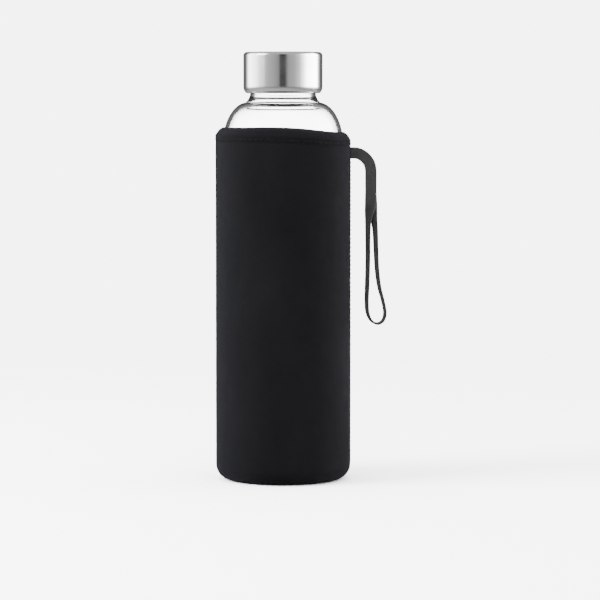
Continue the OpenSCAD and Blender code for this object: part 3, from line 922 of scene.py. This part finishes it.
def make_world():
    """Plain pale surroundings. The steel and the glass mirror softboxes with darker gaps between them,
    and what shows through the glass is a lit backdrop."""
    world = bpy.data.worlds.new("studio")
    bpy.context.scene.world = world
    world.use_nodes = True
    tree = world.node_tree
    tree.nodes.clear()

    def node(kind, inputs=(), **props):
        n = tree.nodes.new(kind)
        for k, v in props.items():
            setattr(n, k, v)
        for k, v in dict(inputs).items():
            if isinstance(v, bpy.types.NodeSocket):
                tree.links.new(v, n.inputs[k])
            else:
                n.inputs[k].default_value = v
        return n

    def ramp(stops):
        """Brightness by degrees from the camera's side, turning towards +X."""
        n = node("ShaderNodeValToRGB", {0: turned})
        top = max(value for _, value in stops)
        while len(n.color_ramp.elements) < len(stops):
            n.color_ramp.elements.new(0.5)
        for e, (degrees, value) in zip(n.color_ramp.elements, stops):
            e.position = degrees / 360 + 0.5
            e.color = (value / top, value / top, value / top, 1)
        return node("ShaderNodeBackground", {0: n.outputs[0], 1: top}).outputs[0]

    def plain(brightness, color=(1, 1, 1, 1)):
        return node("ShaderNodeBackground", {0: color, 1: brightness}).outputs[0]

    def mix(fac, a, b):
        return node("ShaderNodeMixShader", {0: fac, 1: a, 2: b}).outputs[0]

    def calc(op, a, b):
        return node("ShaderNodeMath", {0: a, 1: b}, operation=op).outputs[0]

    direction = node("ShaderNodeTexCoord").outputs["Generated"]
    x, y, z = node("ShaderNodeSeparateXYZ", {0: direction}).outputs[:3]
    angle = calc("ARCTAN2", x, calc("MULTIPLY", y, -1.0))
    turned = node("ShaderNodeMapRange", {0: angle, 1: -math.pi, 2: math.pi}).outputs[0]
    mirrored = ramp(MIRRORED)
    for slopes, brightness in ((UNDER_FROM, UNDER), (OVER_FROM, OVER)):
        share = node("ShaderNodeMapRange", {0: z, 1: slopes[0], 2: slopes[1]}).outputs[0]
        mirrored = mix(share, mirrored, plain(brightness))
    path = node("ShaderNodeLightPath").outputs
    unmirrored = calc("LESS_THAN", path["Glossy Depth"], 0.5)
    through_glass = calc("MULTIPLY", path["Is Transmission Ray"], unmirrored)
    shader = mix(path["Is Glossy Ray"], plain(FILL), mirrored)
    shader = mix(through_glass, shader, plain(THROUGH))      # after the glossy mix, which it overrides
    shader = mix(path["Is Camera Ray"], shader, plain(BACKDROP, (1, 1, 1.005, 1)))
    node("ShaderNodeOutputWorld", {0: shader})


def make_camera():
    """Level with the neck, looking a little down and a little past the bottle's right."""
    data = bpy.data.cameras.new("camera")
    data.sensor_width = 36
    data.lens = CAMERA_LENS
    data.clip_start, data.clip_end = 0.05, 60
    camera = bpy.data.objects.new("camera", data)
    camera.location = (0, -CAMERA_DISTANCE, CAMERA_HEIGHT)
    down, right = math.radians(CAMERA_DOWN), math.radians(CAMERA_RIGHT)
    camera.rotation_euler = (math.pi / 2 - down, 0, -right)
    bpy.context.scene.collection.objects.link(camera)
    bpy.context.scene.camera = camera


# ---------------------------------------------------------------- the whole

make_camera()
make_stage()
make_world()
for softbox in LIGHTS:
    area_light(*softbox)

glass = glass_material()
steel = steel_material()
plastic = plastic_material()
silicone = silicone_material()
neoprene = cloth_material("neoprene_knit", 0.008, 0.017, 0.62, 0.5)
tape = cloth_material("binding_knit", 0.007, 0.016, 0.48, 0.4)
thread = thread_material()
webbing = webbing_material()


def place(obj, body, slot, *nodes):
    """Rides the piece on its body and has it stand for these CAD nodes."""
    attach(obj, body)
    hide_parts(*nodes)
    return obj


place(make_glass(glass), "bottle", "glass", "glass_bottle")
place(make_cap_shell(steel), "cap", "steel", "cap_shell")
place(make_cap_liner(plastic), "cap", "liner_plastic", "cap_liner")
place(make_seal(silicone), "seal", "seal_silicone", "cap_seal")
place(make_sleeve_body(neoprene), "sleeve", "neoprene", "sleeve_body")
place(make_sleeve_base(neoprene), "sleeve", "neoprene", "sleeve_base")
place(make_binding(tape), "sleeve", "knit_tape", "sleeve_binding")
place(make_binding_stitches(thread), "sleeve", "sewing_thread", "binding_stitches")
place(make_side_stitches(thread), "sleeve", "sewing_thread", "side_seam_stitches")
place(make_base_stitches(thread), "sleeve", "sewing_thread", "base_seam_stitches")
place(make_bar_tacks(thread), "sleeve", "sewing_thread", "strap_stitches")

strap, strap_path, strap_length = make_strap(webbing)
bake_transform(strap)
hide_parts("strap_loop", "strap_ends")
